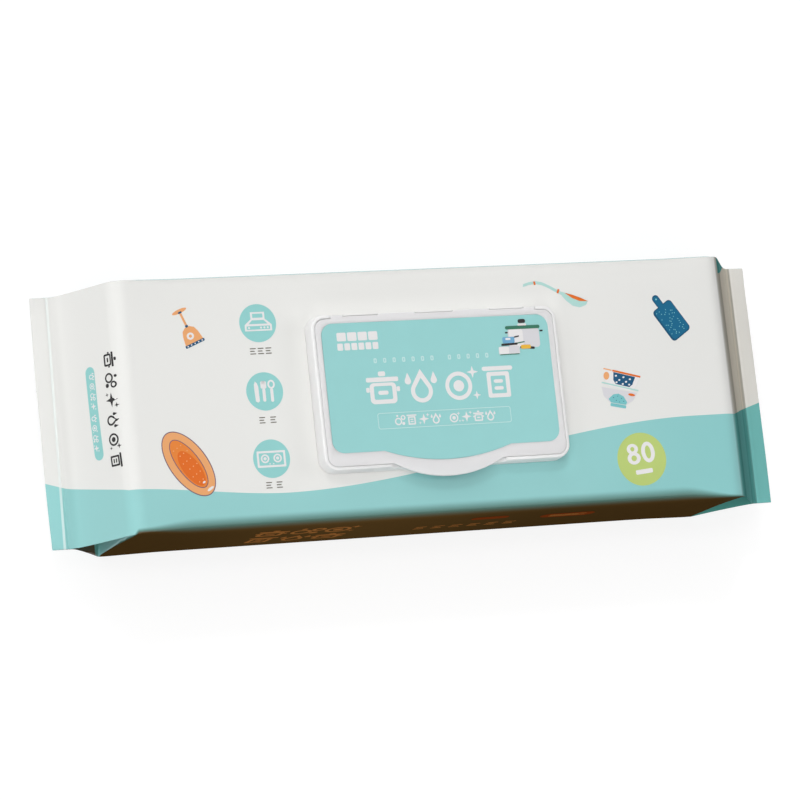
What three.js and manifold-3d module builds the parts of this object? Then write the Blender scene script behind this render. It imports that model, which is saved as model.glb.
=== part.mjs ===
// A pack of wet wipes: a folded film pouch, with a moulded flip lid over its dispensing hole.
// Millimetres, +Z up. X runs along the pack, and the lid's hinge is at the back, towards +Y.
// The origin is under the middle of the pack, on the surface that it lies on.

import * as THREE from 'three';
import { mergeVertices } from 'three/addons/utils/BufferGeometryUtils.js';
import Module from 'manifold-3d';

const wasm = await Module();
wasm.setup();

// Pouch, round its stack of wipes
const pouchLength = 241.5;
const pouchWidth = 92.4;
const pouchHeight = 50.4;
const sideBulge = 0.6;
const crownDrop = 0.7;
const flatHalfWidth = 31;
const topEdgeRadius = 5.5;
const bottomEdgeRadius = 3.5;
const cornerEdgeRadius = 0.9;
const cornerTightening = 26;
const shoulderRadius = 8;
const heelRadius = 4;

// Folded ends, each with a sealed fin
const panelRun = 15.6;
const finHeight = 23.6;
const finHalfThickness = 0.6;
const foldRadius = 0.4;
const lipWidth = 1.8;
const sealWidth = 6.6;
const sealGrooveDepth = 0.3;
const sealGrooveWidth = 0.5;
const tuckDepth = 25;
const tuckLean = 4.3;
const tuckHeight = 24.5;

// Lengthwise back seam, folded flat on the underside
const seamOffset = -2;
const seamWidth = 14;
const seamGrooveWidth = 0.9;
const seamGrooveDepth = 0.5;

// Lid frame, glued on the film
const lidCentreY = 0.8;
const frameWidth = 96.8;
const frameDepth = 57.2;
const frameHeight = 6;
const frameDraft = 0.5;
const frameCornerRadius = 5;
const frameEdgeRadius = 0.4;
const frameFoot = 0.6;
const frameFloor = 0.9;
const rimWall = 1.2;
const ledgeWidth = 1.8;
const collarInset = 11;
const collarWall = 1.2;
const collarHeight = 3.8;
const collarCornerRadius = 6;

// Cover, which closes flush in the frame
const partingGap = 0.3;
const coverThickness = 1.4;
const coverEdge = 0.2;
const tabReach = 5.6;
const tabRadius = 44;
const tabNotchClearance = 1.1;
const plugWall = 1;
const plugClearance = 0.35;
const plugDepth = 2.6;
const catchWidth = 16;
const catchThickness = 0.9;
const catchDepth = 1.6;

// Living hinge: three webs between the frame's back wall and the cover
const hingeHalfSpan = 40.7;
const outerWebWidth = 13.1;
const outerWebCentre = 29;
const middleWebWidth = 14.4;
const webThickness = 0.5;
const webDrop = 0.15;
const hingeDrop = 0.25;

// Label in the cover, and the peel-off seal under it
const labelSideBorder = 2.1;
const labelBackBorder = 3.2;
const labelFrontBorder = 4.7;
const labelCornerRadius = 4.5;
const labelBowHalfChord = 25;
const labelBowSag = 4.3;
const labelThickness = 0.25;
const sealMargin = 2.2;
const sealCornerRadius = 7;
const sealTabWidth = 9;
const sealTabDepth = 14;
const sealThickness = 0.25;

// Steps of the round stretches and of the pouch's long ones
const edgeSteps = 5;
const shoulderSteps = 6;
const cornerSteps = 6;
const bowSteps = 16;
const bodySteps = 8;
const tighteningSteps = 5;
const crownSteps = 4;
const flapSteps = 2;
const sideSteps = 5;
const rimSteps = 3;
const grooveSlope = 0.1;
const mergeReach = 1e-4;

// Sizes that follow from the ones above
const halfLength = pouchLength / 2;
const halfWidth = pouchWidth / 2;
const sealStart = panelRun + lipWidth;
const finTip = sealStart + sealWidth;
const coverTop = pouchHeight + frameHeight;
const coverBottom = coverTop - coverThickness;
const ledgeHeight = frameHeight - coverThickness - partingGap;
const baseWidth = frameWidth + 2 * frameDraft;
const baseDepth = frameDepth + 2 * frameDraft;
const rimInset = frameDraft + rimWall;
const coverInset = rimInset + partingGap;
const collarInnerInset = collarInset + collarWall;
const frameBackY = lidCentreY + frameDepth / 2;
const coverFrontY = lidCentreY - baseDepth / 2 + coverInset;
const coverBackY = lidCentreY + baseDepth / 2 - coverInset;
const lobeBackY = frameBackY - webThickness / 2;
const webFrontY = frameBackY - webThickness;
const coverHalfWidth = baseWidth / 2 - coverInset;
const labelWidth = 2 * (coverHalfWidth - labelSideBorder);
const sealBodyDepth = baseDepth - 2 * (collarInnerInset + sealMargin);
const sealBodyWidth = baseWidth - 2 * (collarInnerInset + sealMargin) - sealTabWidth;
const tabHalfChord = Math.sqrt(2 * tabRadius * tabReach - tabReach * tabReach);

const filmMaterial = new THREE.MeshStandardMaterial({ color: 0xe6e5e3, roughness: 0.35, metalness: 0 });
const frameMaterial = new THREE.MeshStandardMaterial({ color: 0xe4e2e3, roughness: 0.45, metalness: 0 });
const coverMaterial = new THREE.MeshStandardMaterial({ color: 0xe2e0e1, roughness: 0.45, metalness: 0 });
const labelMaterial = new THREE.MeshStandardMaterial({ color: 0x96cfcd, roughness: 0.4, metalness: 0 });
const sealMaterial = new THREE.MeshStandardMaterial({ color: 0xd9dcdc, roughness: 0.3, metalness: 0.2 });

function mix(a, b, t) {
  return a + (b - a) * t;
}

function smoothStep(t) {
  const s = Math.min(Math.max(t, 0), 1);
  return s * s * (3 - 2 * s);
}

// Pouch sections

// The fillet between a flat and its sloping end panel: the panel's slope, and where the fillet starts.
function shoulderFillet(fullDrop, radius) {
  const slope = Math.atan(fullDrop / panelRun);
  return { slope, start: -radius * Math.tan(slope / 2) };
}

// How far a panel has come in from its flat, at a reach past the corner fold.
function panelDrop(reach, fullDrop, radius) {
  const { slope, start } = shoulderFillet(fullDrop, radius);
  const along = reach - start;
  if (along <= 0) {
    return 0;
  }
  if (along < radius * Math.sin(slope)) {
    return radius - Math.sqrt(radius * radius - along * along);
  }
  return Math.min(reach * Math.tan(slope), fullDrop);
}

// A shallow groove runs along the inner edge of the heat seal.
function sealGroove(reach) {
  const offset = Math.abs(reach - sealStart - sealGrooveWidth);
  return offset < sealGrooveWidth / 2 ? sealGrooveDepth : 0;
}

function topHeight(reach) {
  const fullDrop = pouchHeight - finHeight - finHalfThickness;
  return pouchHeight - panelDrop(reach, fullDrop, shoulderRadius) - sealGroove(reach);
}

function bottomHeight(reach) {
  return panelDrop(reach, finHeight - finHalfThickness, heelRadius) + sealGroove(reach);
}

// The long edges are round along the wipes and tighten to a crease at the corner fold.
function edgeRadius(reach, bodyRadius) {
  if (reach >= 0) {
    return foldRadius;
  }
  return mix(cornerEdgeRadius, bodyRadius, smoothStep(-reach / cornerTightening));
}

// The side panel is tucked in between the end panels: its inner corners at a reach.
function tuckPoints(reach, mouthTop, mouthBottom) {
  if (reach <= 0) {
    return [[halfWidth, mouthTop], [halfWidth, mouthBottom]];
  }
  if (reach >= sealStart) {
    return [[halfWidth, finHeight], [halfWidth, finHeight]];
  }
  if (reach >= tuckLean) {
    const along = Math.min((reach - tuckLean) / (panelRun - tuckLean), 1);
    const close = Math.max(reach - panelRun, 0) / lipWidth;
    const point = [halfWidth - tuckDepth * (1 - close), mix(tuckHeight, finHeight, along)];
    return [point, point];
  }
  const share = reach / tuckLean;
  const y = halfWidth - tuckDepth * share;
  const cornerTop = topHeight(0) - foldRadius;
  const cornerBottom = bottomHeight(0) + foldRadius;
  return [[y, mix(cornerTop, tuckHeight, share)], [y, mix(cornerBottom, tuckHeight, share)]];
}

// The film falls away a little between the flat under the lid and the long edges.
function crownAt(y, limit, reach) {
  const share = Math.max(Math.abs(y) - flatHalfWidth, 0) / (limit - flatHalfWidth);
  return crownDrop * share * share * smoothStep(-reach / cornerTightening);
}

function topColumns(reach, radius) {
  const limit = halfWidth - radius;
  const ys = [0, flatHalfWidth / 2, flatHalfWidth];
  for (let i = 1; i <= crownSteps; i += 1) {
    ys.push(mix(flatHalfWidth, limit, i / crownSteps));
  }
  return ys.map((y) => [y, topHeight(reach) - crownAt(y, limit, reach)]);
}

function edgeArc(centreY, centreZ, radius, from, to) {
  const points = [];
  for (let i = 1; i <= edgeSteps; i += 1) {
    const angle = mix(from, to, i / edgeSteps);
    points.push([centreY + radius * Math.cos(angle), centreZ + radius * Math.sin(angle)]);
  }
  return points;
}

function straightRun(from, to, steps, bulge) {
  const points = [];
  for (let i = 1; i <= steps; i += 1) {
    const share = i / steps;
    const out = bulge * 4 * share * (1 - share);
    points.push([mix(from[0], to[0], share) + out, mix(from[1], to[1], share)]);
  }
  return points;
}

// A groove's four edges, as shares of its width: each side falls over a narrow slope.
const grooveSteps = [-0.5 - grooveSlope, -0.5 + grooveSlope, 0.5 - grooveSlope, 0.5 + grooveSlope];

// The seam's free edge and its root show as two grooves, one each side of the flap.
function seamDepth(y, reach) {
  const root = Math.abs(y - seamOffset) < seamGrooveWidth / 2;
  const edge = Math.abs(y - seamOffset - seamWidth) < seamGrooveWidth / 2;
  return reach < 0 && (root || edge) ? seamGrooveDepth : 0;
}

function bottomColumns(reach, radius, side) {
  const ys = [];
  for (const groove of [seamOffset + seamWidth, -seamOffset]) {
    ys.push(...grooveSteps.map((step) => groove - step * seamGrooveWidth));
  }
  ys.push(0);
  const limit = halfWidth - radius;
  const outer = [mix(limit, ys[0], 0.5)];
  return [...outer, ...ys].map((y) => [y, bottomHeight(reach) + seamDepth(side * y, reach)]);
}

// Half of the pouch's section at a reach, from the middle of its top to the middle of its underside.
function halfSection(reach, side) {
  const topRadius = edgeRadius(reach, topEdgeRadius);
  const bottomRadius = edgeRadius(reach, bottomEdgeRadius);
  const top = topColumns(reach, topRadius);
  const topEdgeZ = top[top.length - 1][1];
  const mouthTop = topEdgeZ - topRadius;
  const mouthBottom = bottomHeight(reach) + bottomRadius;
  const [tuckTop, tuckBottom] = tuckPoints(reach, mouthTop, mouthBottom);
  const bulge = sideBulge * smoothStep(-reach / cornerTightening);
  const quarter = Math.PI / 2;
  return [
    ...top,
    ...edgeArc(halfWidth - topRadius, mouthTop, topRadius, quarter, 0),
    ...straightRun([halfWidth, mouthTop], tuckTop, flapSteps, 0),
    ...straightRun(tuckTop, tuckBottom, sideSteps, bulge),
    ...straightRun(tuckBottom, [halfWidth, mouthBottom], flapSteps, 0),
    ...edgeArc(halfWidth - bottomRadius, mouthBottom, bottomRadius, 0, -quarter),
    ...bottomColumns(reach, bottomRadius, side),
  ];
}

// A whole closed section, once round from the middle of the top.
function fullSection(x) {
  const reach = Math.abs(x) - halfLength;
  const right = halfSection(reach, 1);
  const left = halfSection(reach, -1).slice(1, -1).reverse();
  return [...right, ...left.map(([y, z]) => [-y, z])];
}

function shoulderReaches(fullDrop, radius) {
  const { slope, start } = shoulderFillet(fullDrop, radius);
  const reaches = [];
  for (let i = 0; i <= shoulderSteps; i += 1) {
    reaches.push(start + radius * Math.sin((slope * i) / shoulderSteps));
  }
  return reaches;
}

function endReaches() {
  const reaches = [0, tuckLean / 2, tuckLean, (tuckLean + panelRun) / 2, panelRun, sealStart, finTip];
  for (let i = 1; i <= tighteningSteps; i += 1) {
    reaches.push((-cornerTightening * i) / tighteningSteps);
  }
  reaches.push(...grooveSteps.map((step) => sealStart + (1 + step) * sealGrooveWidth));
  reaches.push(...shoulderReaches(pouchHeight - finHeight - finHalfThickness, shoulderRadius));
  return reaches.sort((a, b) => a - b);
}

function stationList() {
  const reaches = endReaches();
  const bodyHalf = halfLength - cornerTightening;
  const stations = [];
  for (let i = 1; i < bodySteps; i += 1) {
    stations.push(mix(-bodyHalf, bodyHalf, i / bodySteps));
  }
  const right = reaches.map((reach) => halfLength + reach);
  return [...right.map((x) => -x).reverse(), ...stations, ...right];
}

// Skins closed sections into one solid. Points that fall together are merged.
function loftSections(stations, sectionAt) {
  const sections = stations.map(sectionAt);
  const count = sections[0].length;
  const positions = sections.flatMap((section, i) => section.flatMap(([y, z]) => [stations[i], y, z]));
  const index = [];
  for (let i = 0; i + 1 < stations.length; i += 1) {
    for (let j = 0; j < count; j += 1) {
      const a = i * count + j;
      const b = i * count + ((j + 1) % count);
      index.push(a, a + count, b, b, a + count, b + count);
    }
  }
  index.push(...capFaces(sections[0], 0, false));
  index.push(...capFaces(sections[sections.length - 1], (sections.length - 1) * count, true));
  return closedGeometry(positions, index);
}

function capFaces(section, offset, flip) {
  const kept = section.map((point, i) => i).filter((i) => {
    const next = section[(i + 1) % section.length];
    return Math.hypot(section[i][0] - next[0], section[i][1] - next[1]) > mergeReach;
  });
  const contour = kept.map((i) => new THREE.Vector2(section[i][0], section[i][1]));
  const faces = THREE.ShapeUtils.triangulateShape(contour, []);
  return faces.flatMap(([a, b, c]) => {
    const face = [offset + kept[a], offset + kept[b], offset + kept[c]];
    return flip ? face : face.reverse();
  });
}

function closedGeometry(positions, index) {
  const loose = new THREE.BufferGeometry();
  loose.setAttribute('position', new THREE.Float32BufferAttribute(positions, 3));
  loose.setIndex(index);
  const merged = mergeVertices(loose, mergeReach);
  const old = merged.getIndex();
  const faces = [];
  for (let i = 0; i < old.count; i += 3) {
    const [a, b, c] = [old.getX(i), old.getX(i + 1), old.getX(i + 2)];
    if (a !== b && b !== c && c !== a) {
      faces.push(a, b, c);
    }
  }
  merged.setIndex(faces);
  merged.computeVertexNormals();
  return merged;
}

// Lid outlines

// A rounded rectangle about the lid's centre, set in from the frame's foot.
function lidOutline(inset, radius) {
  const x = baseWidth / 2 - inset - radius;
  const y = baseDepth / 2 - inset - radius;
  const points = [];
  [[x, y], [-x, y], [-x, -y], [x, -y]].forEach(([cx, cy], corner) => {
    for (let i = 0; i <= cornerSteps; i += 1) {
      const angle = (corner + i / cornerSteps) * (Math.PI / 2);
      points.push([cx + radius * Math.cos(angle), lidCentreY + cy + radius * Math.sin(angle)]);
    }
  });
  return points;
}

// Carries a closed profile of inset, height and corner radius once round the lid.
function sweepRound(profile, seat) {
  const rings = profile.map(([inset, height, radius]) =>
    lidOutline(inset, radius).map(([x, y]) => [x, y, seat + height]));
  const count = rings[0].length;
  const index = [];
  for (let i = 0; i < rings.length; i += 1) {
    const below = i * count;
    const above = ((i + 1) % rings.length) * count;
    for (let j = 0; j < count; j += 1) {
      const next = (j + 1) % count;
      index.push(below + j, below + next, above + j, above + j, below + next, above + next);
    }
  }
  return closedGeometry(rings.flat(2), index);
}

function toSolid(geometry) {
  const bare = new THREE.BufferGeometry();
  bare.setAttribute('position', geometry.getAttribute('position'));
  bare.setIndex(geometry.getIndex());
  const merged = mergeVertices(bare, mergeReach);
  const vertProperties = new Float32Array(merged.getAttribute('position').array);
  const triVerts = new Uint32Array(merged.getIndex().array);
  return new wasm.Manifold(new wasm.Mesh({ numProp: 3, vertProperties, triVerts }));
}

function toGeometry(solid) {
  const mesh = solid.getMesh();
  const geometry = new THREE.BufferGeometry();
  geometry.setAttribute('position', new THREE.Float32BufferAttribute(mesh.vertProperties, 3));
  geometry.setIndex(Array.from(mesh.triVerts));
  geometry.computeVertexNormals();
  return geometry;
}

function blockSolid(x0, x1, y0, y1, z0, z1) {
  const box = new THREE.BoxGeometry(x1 - x0, y1 - y0, z1 - z0);
  box.translate((x0 + x1) / 2, (y0 + y1) / 2, (z0 + z1) / 2);
  return toSolid(box);
}

// Frame

function frameProfile() {
  const r = frameCornerRadius + frameDraft;
  const top = frameHeight;
  const edge = frameEdgeRadius;
  const profile = [[0, 0, r], [0, frameFoot, r]];
  for (let i = 0; i <= rimSteps; i += 1) {
    const angle = (Math.PI / 2) * (1 - i / rimSteps);
    const inset = frameDraft + edge * (1 - Math.sin(angle));
    profile.push([inset, top - edge * (1 - Math.cos(angle)), r - inset]);
  }
  profile.push([rimInset, top, r - rimInset]);
  profile.push([rimInset, ledgeHeight, r - rimInset]);
  profile.push([rimInset + ledgeWidth, ledgeHeight, r - rimInset - ledgeWidth]);
  profile.push([rimInset + ledgeWidth, frameFloor, r - rimInset - ledgeWidth]);
  profile.push([collarInset, frameFloor, collarCornerRadius]);
  profile.push([collarInset, collarHeight, collarCornerRadius]);
  profile.push([collarInnerInset, collarHeight, collarCornerRadius]);
  profile.push([collarInnerInset, 0, collarCornerRadius]);
  return profile;
}

// Each web's centre and width along the hinge.
const webs = [
  [-outerWebCentre, outerWebWidth],
  [0, middleWebWidth],
  [outerWebCentre, outerWebWidth],
];

// The back wall is low along the hinge, except at the webs.
function hingeSlots() {
  const low = pouchHeight + ledgeHeight;
  const high = coverTop + 1;
  const outside = frameBackY + 2 * frameDraft;
  const inside = frameBackY - rimWall - partingGap;
  let slots = blockSolid(-hingeHalfSpan, hingeHalfSpan, inside, outside, low, high);
  for (const [centre, width] of webs) {
    const left = centre - width / 2;
    const right = centre + width / 2;
    slots = slots.subtract(blockSolid(left, right, webFrontY, outside + 1, low - 1, coverTop - webDrop));
  }
  return slots;
}

// The front rim is low where the cover's tab crosses it.
function tabNotch() {
  const half = tabHalfChord + tabNotchClearance;
  const front = lidCentreY - baseDepth / 2 - 1;
  const back = coverFrontY;
  return blockSolid(-half, half, front, back, pouchHeight + ledgeHeight, coverTop + 1);
}

function makeFrame() {
  const ring = toSolid(sweepRound(frameProfile(), pouchHeight));
  return toGeometry(ring.subtract(hingeSlots()).subtract(tabNotch()));
}

// Cover

// The cover's outline: rounded corners, the tab's bow at the front and the hinge lobe at the back.
function coverShape(grow) {
  const r = frameCornerRadius + frameDraft - coverInset + grow;
  const x = coverHalfWidth + grow;
  const front = coverFrontY - grow;
  const back = coverBackY + grow;
  const shape = new THREE.Shape();
  shape.moveTo(-x, front + r);
  shape.absarc(-x + r, front + r, r, Math.PI, 1.5 * Math.PI, false);
  addBow(shape, front, tabHalfChord, tabReach);
  shape.absarc(x - r, front + r, r, 1.5 * Math.PI, 2 * Math.PI, false);
  shape.absarc(x - r, back - r, r, 0, 0.5 * Math.PI, false);
  addHingeEdge(shape, back, grow);
  shape.absarc(-x + r, back - r, r, 0.5 * Math.PI, Math.PI, false);
  shape.closePath();
  return shape;
}

// A shallow arc that bows out of a straight front edge.
function addBow(shape, front, halfChord, sag) {
  const radius = (halfChord * halfChord + sag * sag) / (2 * sag);
  const halfAngle = Math.asin(halfChord / radius);
  for (let i = 0; i <= bowSteps; i += 1) {
    const angle = mix(-halfAngle, halfAngle, i / bowSteps);
    const y = front - sag + radius * (1 - Math.cos(angle));
    shape.lineTo(radius * Math.sin(angle), y);
  }
}

// Along the hinge the cover reaches back over the low wall, with a notch at each web.
function addHingeEdge(shape, back, grow) {
  const lobeHalf = hingeHalfSpan - partingGap + grow;
  const lobeBack = lobeBackY + grow;
  const notchBack = webFrontY - partingGap + grow;
  shape.lineTo(lobeHalf, back);
  shape.lineTo(lobeHalf, lobeBack);
  for (const [centre, width] of [...webs].reverse()) {
    const half = width / 2 + partingGap - grow;
    shape.lineTo(centre + half, lobeBack);
    shape.lineTo(centre + half, notchBack);
    shape.lineTo(centre - half, notchBack);
    shape.lineTo(centre - half, lobeBack);
  }
  shape.lineTo(-lobeHalf, lobeBack);
  shape.lineTo(-lobeHalf, back);
}

function labelShape() {
  const x = labelWidth / 2;
  const r = labelCornerRadius;
  const front = coverFrontY + labelFrontBorder;
  const back = frameBackY - labelBackBorder;
  const shape = new THREE.Shape();
  shape.moveTo(-x, front + r);
  shape.absarc(-x + r, front + r, r, Math.PI, 1.5 * Math.PI, false);
  addBow(shape, front, labelBowHalfChord, labelBowSag);
  shape.absarc(x - r, front + r, r, 1.5 * Math.PI, 2 * Math.PI, false);
  shape.absarc(x - r, back - r, r, 0, 0.5 * Math.PI, false);
  shape.absarc(-x + r, back - r, r, 0.5 * Math.PI, Math.PI, false);
  shape.closePath();
  return shape;
}

function extrudeShape(shape, bottom, height) {
  const options = { depth: height, bevelEnabled: false, curveSegments: cornerSteps };
  const geometry = new THREE.ExtrudeGeometry(shape, options);
  geometry.translate(0, 0, bottom);
  geometry.deleteAttribute('normal');
  geometry.deleteAttribute('uv');
  return mergeVertices(geometry, mergeReach);
}

// The plate has a small bevel round its top edge.
function coverPlate() {
  const options = {
    depth: coverThickness - coverEdge,
    bevelEnabled: true,
    bevelThickness: coverEdge,
    bevelSize: coverEdge,
    bevelOffset: 0,
    bevelSegments: 1,
    curveSegments: cornerSteps,
  };
  const geometry = new THREE.ExtrudeGeometry(coverShape(-coverEdge), options);
  geometry.translate(0, 0, coverBottom);
  geometry.deleteAttribute('normal');
  geometry.deleteAttribute('uv');
  const below = pouchHeight;
  const spare = blockSolid(-frameWidth, frameWidth, -frameWidth, frameWidth, below, coverBottom);
  return toSolid(mergeVertices(geometry, mergeReach)).subtract(spare);
}

// A ring under the cover plugs the frame's collar.
function plugRing() {
  const outer = collarInnerInset + plugClearance;
  const inner = outer + plugWall;
  const high = ledgeHeight + partingGap + coverThickness / 2;
  const low = ledgeHeight + partingGap - plugDepth;
  const r = collarCornerRadius;
  const lead = plugWall / 3;
  const profile = [
    [outer + lead, low, r],
    [outer, low + lead, r],
    [outer, high, r],
    [inner, high, r],
    [inner, low + lead, r],
    [inner - lead, low, r],
  ];
  return toSolid(sweepRound(profile, pouchHeight));
}

// A bar behind the tab snaps inside the frame's front ledge.
function catchBar() {
  const front = lidCentreY - baseDepth / 2 + rimInset + ledgeWidth + plugClearance;
  const low = coverBottom - catchDepth;
  const half = catchWidth / 2;
  return blockSolid(-half, half, front, front + catchThickness, low, coverBottom + coverThickness / 2);
}

function makeCover() {
  const recess = extrudeShape(labelShape(), coverTop - labelThickness, labelThickness + 1);
  return toGeometry(coverPlate().add(plugRing()).add(catchBar()).subtract(toSolid(recess)));
}

function makeLabel() {
  return extrudeShape(labelShape(), coverTop - labelThickness, labelThickness);
}

// The peel-off seal has a round pull tab at its right end.
function makeSeal() {
  const x = sealBodyWidth / 2;
  const y = sealBodyDepth / 2;
  const r = sealCornerRadius;
  const tab = sealTabDepth / 2;
  const tabRound = Math.min(tab, sealTabWidth);
  const tip = x + sealTabWidth - tabRound;
  const shape = new THREE.Shape();
  shape.moveTo(-x + r, -y);
  shape.absarc(x - r, -y + r, r, -Math.PI / 2, 0, false);
  shape.lineTo(x, -tab);
  shape.absarc(tip, 0, tabRound, -Math.PI / 2, Math.PI / 2, false);
  shape.lineTo(x, tab);
  shape.absarc(x - r, y - r, r, 0, Math.PI / 2, false);
  shape.absarc(-x + r, y - r, r, Math.PI / 2, Math.PI, false);
  shape.absarc(-x + r, -y + r, r, Math.PI, 1.5 * Math.PI, false);
  shape.closePath();
  const geometry = extrudeShape(shape, pouchHeight, sealThickness);
  geometry.translate(-sealTabWidth / 2, lidCentreY, 0);
  return geometry;
}

function namedMesh(name, geometry, material) {
  const mesh = new THREE.Mesh(geometry, material);
  mesh.name = name;
  return mesh;
}

// The cover is hinged on its webs: its group stands at the hinge line.
const hingeY = frameBackY - webThickness / 2;
const hingeZ = coverTop - hingeDrop;
const lid = new THREE.Group();
lid.position.set(0, hingeY, hingeZ);
for (const [name, geometry, material] of [
  ['flip_lid', makeCover(), coverMaterial],
  ['lid_label', makeLabel(), labelMaterial],
]) {
  geometry.translate(0, -hingeY, -hingeZ);
  lid.add(namedMesh(name, geometry, material));
}

const group = new THREE.Group();
group.add(namedMesh('film_pack', loftSections(stationList(), fullSection), filmMaterial));
group.add(namedMesh('lid_frame', makeFrame(), frameMaterial));
group.add(namedMesh('seal_sticker', makeSeal(), sealMaterial));
group.add(lid);

export default group;
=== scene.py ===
"""Looks of a pack of wet wipes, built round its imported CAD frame."""

import functools
import math

import bpy
from bpy.props import FloatProperty, FloatVectorProperty, PointerProperty
from mathutils import Matrix, Vector


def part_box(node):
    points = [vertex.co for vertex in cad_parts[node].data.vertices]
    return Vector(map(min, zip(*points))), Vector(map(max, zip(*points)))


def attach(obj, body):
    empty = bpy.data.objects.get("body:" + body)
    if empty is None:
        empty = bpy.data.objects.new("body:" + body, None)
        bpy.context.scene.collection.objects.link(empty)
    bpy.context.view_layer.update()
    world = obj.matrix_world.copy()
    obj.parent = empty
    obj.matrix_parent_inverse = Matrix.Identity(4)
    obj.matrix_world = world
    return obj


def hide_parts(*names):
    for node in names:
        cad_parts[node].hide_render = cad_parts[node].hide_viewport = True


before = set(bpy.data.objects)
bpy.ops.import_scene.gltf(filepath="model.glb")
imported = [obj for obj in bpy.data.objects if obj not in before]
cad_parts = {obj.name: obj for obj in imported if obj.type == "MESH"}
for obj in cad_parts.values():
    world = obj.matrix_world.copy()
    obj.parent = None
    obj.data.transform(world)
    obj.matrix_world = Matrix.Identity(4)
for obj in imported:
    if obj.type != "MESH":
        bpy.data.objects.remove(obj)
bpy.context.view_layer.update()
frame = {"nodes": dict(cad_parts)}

bl_info = {
    "name": "Wet wipes pack",
    "version": (1, 0, 0),
    "blender": (4, 5, 0),
    "location": "View3D > Sidebar > Wipes pack",
    "description": "Builds the printed film pouch, the flip lid and the studio of a wet wipes pack",
    "category": "Object",
}

MM = 0.001


def printed(red, green, blue):
    """A colour written as it shows on the pack, from 0 to 255, for a shader."""
    return tuple(step / 12.92 if step <= 0.04045 else ((step + 0.055) / 1.055) ** 2.4
                 for step in (red / 255, green / 255, blue / 255))


def shaded(colour, *shares):
    """A colour with its three steps times their shares, or all times one share."""
    return [step * share for step, share in zip(colour, shares * (3 // len(shares)))]


def low_high(node):
    low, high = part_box(node)
    return low / MM, high / MM


# Places on the frame, in millimetres. PANEL_RUN, SEAL_START and SEAL_RIM count outward from HALF_LENGTH,
# where the ends fold.
FRAME_LOW, FRAME_HIGH = low_high("lid_frame")
COVER_HIGH = low_high("flip_lid")[1]
LABEL_TOP = low_high("lid_label")[1].z
POUCH_TOP = FRAME_LOW.z
END_REACH = 24.0
HALF_LENGTH = low_high("film_pack")[1].x - END_REACH
HALF_WIDTH = 46.2
FIN_HEIGHT = 23.6
PANEL_RUN = 15.6
SEAL_START = 17.4
SEAL_RIM = 23
EDGE_RADIUS = 5.5
CORNER_RADIUS = 0.9
EDGE_RUN = 26
CROWN_DROP = 0.7
CROWN_START = 31
UNDERSIDE_BORDER = 34

# How prints and mouldings are made, in millimetres.
INK_LIFT = 0.03
INK_LAYER = 0.035
INK_DEPTH = 0.025
MOULDED_EDGE = 0.06
GAP_CLOSING = 0.16

# The pouch's printed panels, in the order of its materials.
TOP, SIDE, FRONT, UNDERSIDE, RIGHT_END = range(5)


class FilmSettings(bpy.types.PropertyGroup):
    white: FloatVectorProperty(name="Film white", description="Unprinted film", subtype="COLOR",
                               default=printed(230, 230, 227), min=0, max=1)
    teal: FloatVectorProperty(name="Film teal", description="Printed band on the film", subtype="COLOR",
                              default=printed(147, 204, 203), min=0, max=1)
    # Painted shade: the front is teal film in shade, drawn dark brown.
    front: FloatVectorProperty(name="Front panel", description="Dark print of the front side",
                               subtype="COLOR", default=printed(84, 62, 31), min=0, max=1)
    gloss: FloatProperty(name="Film roughness", description="How dull the film's shine is",
                         default=0.06, min=0, max=1, subtype="FACTOR")


class LidSettings(bpy.types.PropertyGroup):
    white: FloatVectorProperty(name="Lid white", description="Moulded flip cover", subtype="COLOR",
                               default=printed(227, 226, 227), min=0, max=1)
    # Lighter than the cover's white though both are one plastic: painted light for the light that the frame's rim
    # and walls catch.
    frame: FloatVectorProperty(name="Frame white", description="Moulded frame round the cover", subtype="COLOR",
                               default=printed(240, 239, 239), min=0, max=1)
    label: FloatVectorProperty(name="Label teal", description="Label in the lid", subtype="COLOR",
                               default=printed(149, 207, 206), min=0, max=1)
    roughness: FloatProperty(name="Lid roughness", description="How dull the moulded lid is",
                             default=0.42, min=0, max=1, subtype="FACTOR")


class StageSettings(bpy.types.PropertyGroup):
    lens: FloatProperty(name="Lens", description="Focal length of the camera", default=172.66,
                        min=20, max=400, unit="CAMERA")
    room: FloatProperty(name="Room light", description="Strength of the light from all round",
                        default=1.25, min=0, max=3)
    right: FloatProperty(name="Right share", description="How bright the room's right is beside its left",
                         default=0.02, min=0, max=1, subtype="FACTOR")
    horizon: FloatProperty(name="Horizon share", description="How bright the room's walls are beside its ceiling",
                           default=0.48, min=0, max=1, subtype="FACTOR")
    softbox: FloatProperty(name="Overhead softbox", description="Strength of the softbox above",
                           default=5.2, min=0, max=20)
    key: FloatProperty(name="Key lamp", description="Strength of the lamp that casts the lid's shadow",
                       default=0.36, min=0, max=10)


# Materials


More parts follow.
